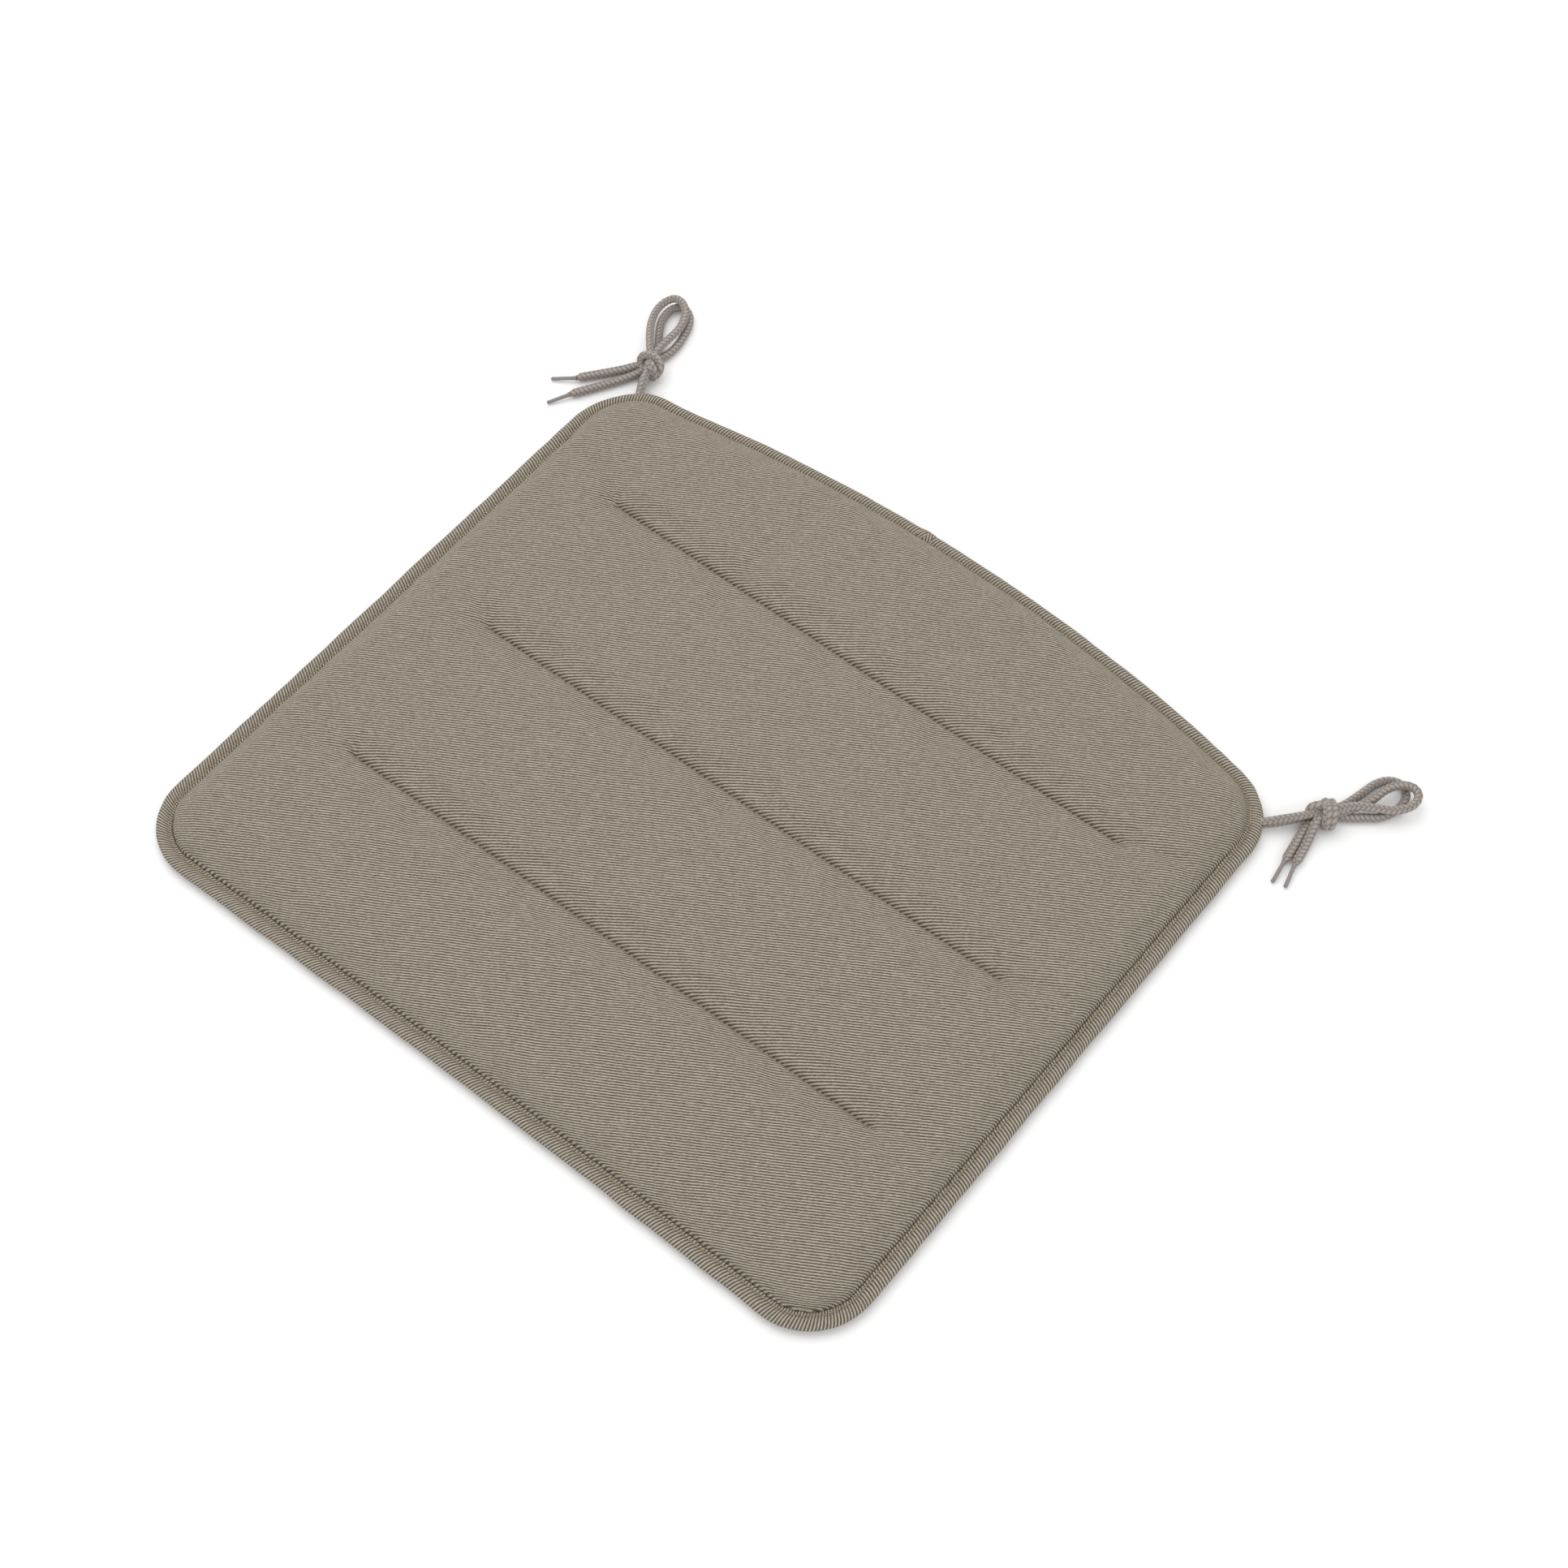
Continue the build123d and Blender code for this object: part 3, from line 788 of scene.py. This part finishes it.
def make_bottom_cover():
    """Underside: the same twill, flat on the floor, drawn up a little at the channels."""
    x, y, _, _ = cover_grid(COVER_INSET, (38, 42, 42, 38), 150)
    points = np.stack([x, y, under_height(x, y)], -1).reshape(-1, 3)
    weave = fabric_coordinates(x, y, False).reshape(-1, 3)
    faces = grid_faces(*x.shape, flip=True)
    piece = add_mesh("bottom_cover_cloth", points, faces, weave, "cover_twill")
    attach(piece, "pad")
    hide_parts("bottom_cover")


def make_foam():
    """Foam sheet inside the covers, pinched at the channels."""
    x, y, _, _ = cover_grid(FOAM_INSET, (20, 24, 24, 20), 80)
    low = under_height(x, y) + 0.0010
    high = np.maximum(top_height(x, y) - 0.0030, low + 0.0006)
    top = np.stack([x, y, high], -1).reshape(-1, 3)
    under = np.stack([x, y, low], -1).reshape(-1, 3)
    rows, columns = x.shape
    index = np.arange(rows * columns).reshape(rows, columns)
    rim = np.concatenate([index[0, :-1], index[:-1, -1], index[-1, :0:-1], index[:0:-1, 0]])
    ahead = np.roll(rim, -1)
    wall = np.stack([rim + len(top), ahead + len(top), ahead, rim], 1)
    faces = np.concatenate([
        grid_faces(rows, columns), grid_faces(rows, columns, flip=True) + len(top), wall,
    ])
    points = np.concatenate([top, under])
    piece = add_mesh("foam_sheet", points, faces, points, "foam")
    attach(piece, "pad")
    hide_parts("foam_core")


# ---------------------------------------------------------------- binding

# Inset and height in mm, from the underside's inner lip round the outer fold to the upper lip
BINDING_SECTION = [
    (8.6, 2.9), (8.5, 2.2), (7.4, 1.9), (6.4, 2.35), (5.0, 2.0), (3.2, 1.9), (1.9, 2.1),
    (0.9, 2.5), (0.25, 3.2), (0.0, 4.0), (0.25, 4.8), (0.9, 5.5), (1.9, 6.0), (3.2, 6.25),
    (4.6, 6.15), (5.6, 5.85), (6.2, 5.55), (6.6, 5.30), (7.1, 5.75), (7.65, 6.0), (8.2, 5.8),
    (8.6, 5.1), (8.5, 4.4),
]
OUTER_FOLD = 9


def binding_slant(s, length):
    """How far the binding's stripes lean: most along the left side and the front."""
    q = s / length
    left_and_front = np.exp(-(((q - 0.37) / 0.17) ** 2))
    right = np.exp(-(((q - 0.75) / 0.06) ** 2))
    return 0.26 + 0.42 * left_and_front + 0.12 * right


def binding_relief(points, s, section):
    """Inset and height of every point: stitches dent the strip and pucker its inner lip."""
    x, y = points[:, 0], points[:, 1]
    inset = np.tile(section[:, 0], (len(s), 1))
    height = np.tile(section[:, 1], (len(s), 1))
    phase = 2 * pi * s / STITCH_PITCH
    upper = section[:, 1] > 0.0045
    dent = np.exp(-(((section[:, 0] - STITCH_INSET) / 0.0009) ** 2)) * upper
    height -= 0.00022 * dent * (0.5 - 0.5 * np.cos(phase))[:, None]
    lip = np.clip((section[:, 0] - 0.0068) / 0.0013, 0, 1) * upper
    height += 0.00024 * lip * (ripples(x, y, 5, 0.0042, 9) + 0.5 * np.cos(phase + 0.6))[:, None]
    inset += 0.00042 * lip * ripples(x, y, 8, 0.0060, 9)[:, None]
    band = np.exp(-(((section[:, 0] - 0.0035) / 0.0022) ** 2)) * upper
    height += 0.00022 * band * ripples(x, y, 14, 0.014, 9)[:, None]
    fold = np.exp(-((section[:, 0] / 0.0015) ** 2))
    inset += 0.00030 * fold * ripples(x, y, 21, 0.045, 7)[:, None]
    inset += 0.00012 * fold * ripples(x, y, 22, 0.012, 7)[:, None]
    return inset, height


def along_section(section):
    """Distance along the binding's section, which is the strip's own width."""
    return np.concatenate([[0], np.cumsum(np.linalg.norm(np.diff(section, axis=0), axis=1))])


def make_binding():
    """Folded strip round the edge, whose first row is repeated to close it."""
    points, normals, s = outline(BINDING_STEP)
    length = s[-1] + BINDING_STEP
    section = np.array(BINDING_SECTION) * MM
    run = along_section(section)
    inset, height = binding_relief(points, s, section)
    plan = points[:, None, :] - normals[:, None, :] * inset[:, :, None]
    solid = np.concatenate([plan, height[:, :, None]], -1)
    lean = -binding_slant(s, length)[:, None] * (run - run[OUTER_FOLD])
    weave = np.stack([s[:, None] + lean, np.tile(run, (len(s), 1)), height], -1)
    solid = np.concatenate([solid, solid[:1]])
    weave = np.concatenate([weave, weave[:1] + [length, 0, 0]])
    faces = grid_faces(len(solid), len(section), flip=True)
    solid, weave = solid.reshape(-1, 3), weave.reshape(-1, 3)
    piece = add_mesh("edge_binding_strip", solid, faces, weave, "binding_twill")
    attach(piece, "pad")
    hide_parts("edge_binding")


def make_lap():
    """Folded end of the binding lapped over its start, standing a little proud."""
    points, normals, s = outline(LAP_STEP)
    length = s[-1] + LAP_STEP
    reach = np.minimum(s, length - s) * np.where(s < length / 2, 1, -1)
    near = np.flatnonzero(np.abs(reach) < LAP_HALF)
    near = near[np.argsort(reach[near])]
    section = np.array(BINDING_SECTION[4:21]) * MM
    q = (reach[near] + LAP_HALF) / (2 * LAP_HALF)
    swell = 0.00055 * np.sin(pi * np.clip(q, 0.04, 0.96)) ** 0.5
    centre = np.array([0.0052, 0.004])
    away = section - centre
    away = away / np.linalg.norm(away, axis=1, keepdims=True)
    spread = section[None] + away[None] * swell[:, None, None]
    fold = np.exp(-(((q - 0.5) / 0.06) ** 2))[:, None]
    upper = (section[:, 1] > 0.0050)[None]
    spread[:, :, 1] -= 0.0009 * fold * upper * np.clip(section[None, :, 0] / 0.006, 0, 1)
    plan = points[near][:, None] - normals[near][:, None] * spread[:, :, :1]
    solid = np.concatenate([plan, spread[:, :, 1:]], -1)
    run = along_section(section)
    turn = np.where(q < 0.5, 0.5, -0.4)[:, None] * section[None, :, 0]
    along = reach[near][:, None] + turn
    weave = np.stack([along, np.tile(run, (len(near), 1)), spread[:, :, 1]], -1)
    faces = grid_faces(len(near), len(section), flip=True)
    solid, weave = solid.reshape(-1, 3), weave.reshape(-1, 3)
    piece = add_mesh("binding_lap_fold", solid, faces, weave, "binding_twill")
    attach(piece, "pad")
    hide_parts("binding_lap")


# ---------------------------------------------------------------- stitches

def stitch_tubes(name, starts, ends, lift, radius, nodes, sides=7, rings=8):
    """Many short stitches as one piece: each dives at its ends and bows up between them."""
    starts, ends = np.asarray(starts), np.asarray(ends)
    q = np.linspace(0, 1, rings)
    bow = np.sin(pi * q)
    line = starts[:, None] + (ends - starts)[:, None] * q[None, :, None]
    line[:, :, 2] += bow * lift - abs(lift) * 0.55 * np.sign(lift)
    tangent = np.gradient(line, axis=1)
    tangent /= np.linalg.norm(tangent, axis=2, keepdims=True)
    up = np.zeros_like(tangent)
    up[:, :, 2] = 1
    across = np.cross(tangent, up)
    across /= np.linalg.norm(across, axis=2, keepdims=True)
    up = np.cross(across, tangent)
    angle = np.linspace(0, 2 * pi, sides, endpoint=False)
    size = radius * (0.75 + 0.25 * np.sin(pi * q))
    ring = np.cos(angle)[:, None] * across[:, :, None] + np.sin(angle)[:, None] * up[:, :, None]
    points = line[:, :, None] + ring * size[None, :, None, None]
    distance = np.linalg.norm(ends - starts, axis=1)[:, None, None] * q[None, :, None]
    weave = np.stack(np.broadcast_arrays(distance, angle[None, None], 0.0), -1)
    faces = grid_faces(rings, sides, wrap_columns=True)
    first = np.arange(len(starts))[:, None, None] * rings * sides
    faces = (faces[None] + first).reshape(-1, 4)
    caps = [list(range(sides - 1, -1, -1)), list(range((rings - 1) * sides, rings * sides))]
    offsets = [k * rings * sides for k in range(len(starts))]
    closed = [[v + offset for v in cap] for offset in offsets for cap in caps]
    points = pulled_corner(points.reshape(-1, 3))
    thread = add_mesh(name, points, faces.tolist() + closed, weave.reshape(-1, 3), "thread")
    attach(thread, "pad")
    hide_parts(*nodes)


def binding_stitches(name, z, lift, node):
    """Topstitching right round the binding."""
    points, normals, s = outline(0.0005)
    line = points - normals * STITCH_INSET
    total = s[-1] + 0.0005
    count = int(round(total / STITCH_PITCH))
    pitch = total / count
    places = np.arange(count) * pitch
    wander = 0.00012 * ripples(places, places * 0, 4, 0.03)
    loop = np.concatenate([line, line[:1]])
    around = np.concatenate([s, [total]])

    def at(distance):
        return np.stack([np.interp(distance % total, around, loop[:, k]) for k in (0, 1)], 1)

    start = at(places + pitch * 0.10)
    end = at(places + pitch * 0.92)
    level = np.full((count, 1), z)
    nudge = wander[:, None]
    start = np.concatenate([start * (1 + nudge), level], 1)
    end = np.concatenate([end * (1 + nudge), level], 1)
    stitch_tubes(name, start, end, lift, BINDING_THREAD, [node])


def channel_stitches(name, index, z, lift, node):
    """Stitches along the bottom of one channel."""
    pitch = 2 * CHANNEL_HALF / CHANNEL_STITCHES
    x = CHANNEL_CENTRE_X - CHANNEL_HALF + np.arange(CHANNEL_STITCHES) * pitch
    start = np.stack([x + 0.1 * pitch, channel_line(index, x), np.full_like(x, z)], 1)
    end = start + [0.78 * pitch, 0, 0]
    if lift > 0:
        # Backstitches at both ends
        for way in (-1, 1):
            for step in range(3):
                place = CHANNEL_CENTRE_X + way * (CHANNEL_HALF - 0.0012 * step)
                spot = [place, channel_line(index, place), z]
                first = np.add(spot, [-0.0014, 0.00035 - 0.00035 * step, 0.0003])
                last = np.add(spot, [0.0012, -0.0002 + 0.0003 * step, 0.0003])
                start = np.append(start, [first], 0)
                end = np.append(end, [last], 0)
    stitch_tubes(name, start, end, lift, CHANNEL_THREAD, [node])


def bar_tack(side_name):
    """Dense zigzag of thread over the end of a tie."""
    tie = TIES[side_name]
    out = np.array(tie["outward"])
    along = np.array([-out[1], out[0], 0])
    corner = np.array(tie["exit"]) - out * STITCH_INSET
    corner[2] = BINDING_ROWS[0]
    places = np.linspace(-TACK_HALF, TACK_HALF, 23)
    starts = [corner + along * p - out * TACK_REACH for p in places]
    ends = [corner + along * (p + 0.0002) + out * TACK_REACH for p in places]
    name = f"{side_name}_bar_tack"
    stitch_tubes(f"{name}_threads", starts, ends, TACK_BOW, TACK_THREAD, [name])


# ---------------------------------------------------------------- cords

def spline_points(name, points, resolution):
    """Points in metres that Blender gives for a NURBS spline with these control points."""
    curve = bpy.data.curves.new(name, "CURVE")
    curve.dimensions = "3D"
    curve.resolution_u = resolution
    spline = curve.splines.new("NURBS")
    spline.points.add(len(points) - 1)
    for point, spot in zip(spline.points, points):
        point.co = (*(v / CORD_UNITS for v in spot), 1.0)
    spline.order_u = 3
    spline.use_endpoint_u = True
    line = bpy.data.objects.new(name, curve)
    bpy.context.scene.collection.objects.link(line)
    bpy.context.view_layer.update()
    mesh = bpy.data.meshes.new_from_object(line)
    spots = np.array([v.co[:] for v in mesh.vertices])
    bpy.data.objects.remove(line)
    bpy.data.curves.remove(curve)
    bpy.data.meshes.remove(mesh)
    return spots


def even_points(spots, step):
    """The same line with evenly spaced points, and the distance along it."""
    gaps = np.linalg.norm(np.diff(spots, axis=0), axis=1)
    along = np.concatenate([[0], np.cumsum(gaps)])
    count = int(round(along[-1] / step)) + 1
    places = np.linspace(0, along[-1], count)
    return np.stack([np.interp(places, along, spots[:, k]) for k in range(3)], 1), places


def carried_frames(line):
    """Two directions square to the line at each point, carried along without twist."""
    tangent = np.gradient(line, axis=0)
    tangent /= np.linalg.norm(tangent, axis=1, keepdims=True)
    first = np.empty_like(line)
    side_way = np.cross(tangent[0], [0, 0, 1.0])
    first[0] = side_way / np.linalg.norm(side_way)
    for k in range(1, len(line)):
        v = first[k - 1] - tangent[k] * np.dot(first[k - 1], tangent[k])
        first[k] = v / np.linalg.norm(v)
    return first, np.cross(tangent, first)


def rings_round(line, turn):
    """Unit offsets square to the line at each point, in the directions of the turn angles."""
    first, second = carried_frames(line)
    level = first[:, None] * np.cos(turn)[None, :, None]
    return level + second[:, None] * np.sin(turn)[None, :, None]


def braid(along, turn):
    """Eight yarns plaited two over two round a cord.

    Gives the height from 0 to 1, and how far each point is along and across its yarn.
    """
    a = 4 * turn / (2 * pi) - 4 * along / BRAID_LEAD
    b = 4 * turn / (2 * pi) + 4 * along / BRAID_LEAD
    a_index, b_index = np.floor(a), np.floor(b)
    a_round = np.sqrt(np.clip(1 - (2 * (a - a_index) - 1) ** 2, 0, 1))
    b_round = np.sqrt(np.clip(1 - (2 * (b - b_index) - 1) ** 2, 0, 1))
    a_height = a_round * 0.66 + 0.40 * np.cos(pi / 2 * (a_index + b - 1))
    b_height = b_round * 0.66 - 0.40 * np.cos(pi / 2 * (b_index + a - 1))
    a_on_top = a_height > b_height
    height = np.clip(np.where(a_on_top, a_height, b_height) / 1.06, 0, 1)
    across = np.where(a_on_top, a, b + 50) * YARN_WIDTH
    lengthways = np.where(a_on_top, b, -a) * YARN_WIDTH
    return height, lengthways, across


def braided_tube(name, line, along, radius, squash, slot="cord"):
    """Braided cord round a line; radius and squash are given for each point."""
    sides = 44
    turn = np.linspace(0, 2 * pi, sides, endpoint=False)
    relief, lengthways, across = braid(along[:, None], turn[None, :])
    size = radius[:, None] * (0.82 + 0.24 * relief)
    offset = rings_round(line, turn) * size[:, :, None]
    offset[:, :, 2] *= squash[:, None]
    points = (line[:, None] + offset).reshape(-1, 3)
    weave = np.stack([lengthways, across, relief], -1).reshape(-1, 3)
    faces = grid_faces(len(line), sides, wrap_columns=True)
    tips = np.array([line[0], line[-1]])
    start, end = len(points), len(points) + 1
    near = np.arange(sides)
    far = near + (len(line) - 1) * sides
    caps = np.concatenate([
        np.stack([np.roll(near, -1), near, np.full(sides, start)], 1),
        np.stack([far, np.roll(far, -1), np.full(sides, end)], 1),
    ])
    points = np.concatenate([points, tips])
    weave = np.concatenate([weave, [[0, 0, 0.5], [0, 0, 0.5]]])
    return add_mesh(name, points, faces.tolist() + caps.tolist(), weave, slot)


def make_strand(name):
    """One strand of a tie: out of the seam, through the knot, round its loop to its tip."""
    side_name = name.split("_")[0]
    spots = spline_points(name, ROUTES[name], 24)
    line, along = even_points(spots, TUBE_STEP)
    total = along[-1]
    tail = np.clip((along - (total - TAIL_LENGTH)) / 0.008, 0, 1)
    radius = CORD_DIAMETER / 2 * (0.90 + 0.07 * tail)
    radius *= 1 - 0.5 * np.clip((along - (total - TAPER_LENGTH)) / TAPER_LENGTH, 0, 1) ** 1.5
    squash = 0.42 + 0.58 * np.clip((along - 0.003) / 0.008, 0, 1)
    piece = braided_tube(f"{name}_strand", line, along, radius, squash)
    nodes = [f"{name}_root", f"{name}_loop", f"{name}_tail"]
    if name.endswith("upper"):
        nodes.append(f"{side_name}_tie_seam_end")
    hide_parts(*nodes)
    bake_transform(piece)
    tip = make_aglet(name)


def make_aglet(name):
    """Narrow stiffened tip with a rounded end and a slight flare where the cord enters."""
    spots = spline_points(name, ROUTES[name][-1:] + AGLETS[name], 16)
    line, along = even_points(spots, 0.0005)
    total = along[-1]
    sides = 20
    turn = np.linspace(0, 2 * pi, sides, endpoint=False)
    radius = 0.00100 + 0.00045 * np.exp(-along / 0.0010)
    radius *= np.sqrt(np.clip(1 - np.clip((along - total + 0.0004) / 0.00045, 0, 1) ** 2, 0.04, 1))
    uneven = 1 + 0.03 * np.sin(turn[None] * 3 + along[:, None] / 0.002)
    points = line[:, None] + rings_round(line, turn) * (radius[:, None] * uneven)[:, :, None]
    shape = np.broadcast_arrays(along[:, None], turn[None] * 0.001, 0.5)
    weave = np.stack(shape, -1).reshape(-1, 3)
    faces = grid_faces(len(line), sides, wrap_columns=True).tolist()
    faces.append(list(range(sides - 1, -1, -1)))
    faces.append(list(range((len(line) - 1) * sides, len(line) * sides)))
    piece = add_mesh(f"{name}_aglet_tip", points.reshape(-1, 3), faces, weave, "aglet")
    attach(piece, f"{name.split('_')[0]}_tie")
    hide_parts(f"{name}_aglet")
    return piece


def make_knot(side_name):
    """Turns of cord drawn tight round both strands."""
    for number, route in enumerate(KNOT_TURNS[side_name]):
        spots = spline_points("turn", route, 24)
        line, along = even_points(spots, TUBE_STEP)
        radius = np.full(len(along), CORD_DIAMETER / 2 * 0.97)
        squash = np.ones(len(along))
        name = f"{side_name}_knot_turn_{number + 1}"
        piece = braided_tube(name, line, along + 0.001 * number, radius, squash)
        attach(piece, f"{side_name}_tie")
        if number == 0:
            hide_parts(f"{side_name}_knot")


# ---------------------------------------------------------------- studio

def make_floor():
    mesh = bpy.data.meshes.new("floor")
    corners = [(-6, -6, 0), (6, -6, 0), (6, 6, 0), (-6, 6, 0)]
    mesh.from_pydata([(x, y, -0.0002) for x, y, _ in corners], [], [(0, 1, 2, 3)])
    floor = bpy.data.objects.new("floor", mesh)
    bpy.context.scene.collection.objects.link(floor)
    mesh.materials.append(floor_paint())


def add_light(name, place, size, power, colour):
    light = bpy.data.lights.new(name, "AREA")
    light.shape = "DISK"
    light.size = size
    light.energy = power
    light.color = colour
    lamp = bpy.data.objects.new(name, light)
    lamp.location = place
    lamp.rotation_euler = (-Vector(place)).to_track_quat("-Z", "Y").to_euler()
    bpy.context.scene.collection.objects.link(lamp)


def make_world():
    world = bpy.data.worlds.new("studio")
    world.use_nodes = True
    sky = world.node_tree.nodes["Background"]
    sky.inputs["Color"].default_value = (1.0, 1.0, 1.0, 1.0)
    sky.inputs["Strength"].default_value = 0.92
    bpy.context.scene.world = world


def make_camera():
    """Camera at the photograph's angle, worked out from the pad's outline."""
    turn, rise, roll = radians(38.5716), radians(57.7245), radians(0.321)
    target, distance = Vector((0.01382, 0.03025, 0.0)), 1.5243
    back = Vector((sin(turn) * cos(rise), -cos(turn) * cos(rise), sin(rise)))
    right = Vector((cos(turn), sin(turn), 0.0))
    up = back.cross(right)
    right, up = right * cos(roll) + up * sin(roll), up * cos(roll) - right * sin(roll)
    lens = bpy.data.cameras.new("camera")
    lens.sensor_width = 36
    lens.lens = 69.775
    camera = bpy.data.objects.new("camera", lens)
    facing = Matrix((right, up, back)).transposed().to_4x4()
    camera.matrix_world = Matrix.Translation(target + back * distance) @ facing
    bpy.context.scene.collection.objects.link(camera)
    bpy.context.scene.camera = camera


make_floor()
make_world()
make_camera()
add_light("overhead", (-1.3, 0.6, 2.3), 3.0, 27, (1.0, 0.99, 0.97))
add_light("fill", (1.8, -1.6, 1.6), 2.0, 8, (0.98, 0.99, 1.0))
bpy.context.scene.view_settings.view_transform = "Standard"

for strand in ROUTES:
    make_strand(strand)
for side_name in TIES:
    make_knot(side_name)
    bar_tack(side_name)
make_top_cover()
make_bottom_cover()
make_foam()
make_binding()
make_lap()
binding_stitches("binding_topstitch", BINDING_ROWS[0], BINDING_BOW, "binding_stitch_top")
binding_stitches("binding_understitch", BINDING_ROWS[1], -BINDING_BOW, "binding_stitch_under")
for number, which in enumerate(("front", "middle", "back")):
    name, node = f"{which}_channel", f"{which}_channel_stitch"
    channel_stitches(f"{name}_topstitch", number, CHANNEL_ROWS[0], CHANNEL_BOW, f"{node}_top")
    channel_stitches(f"{name}_understitch", number, CHANNEL_ROWS[1], -CHANNEL_BOW, f"{node}_under")
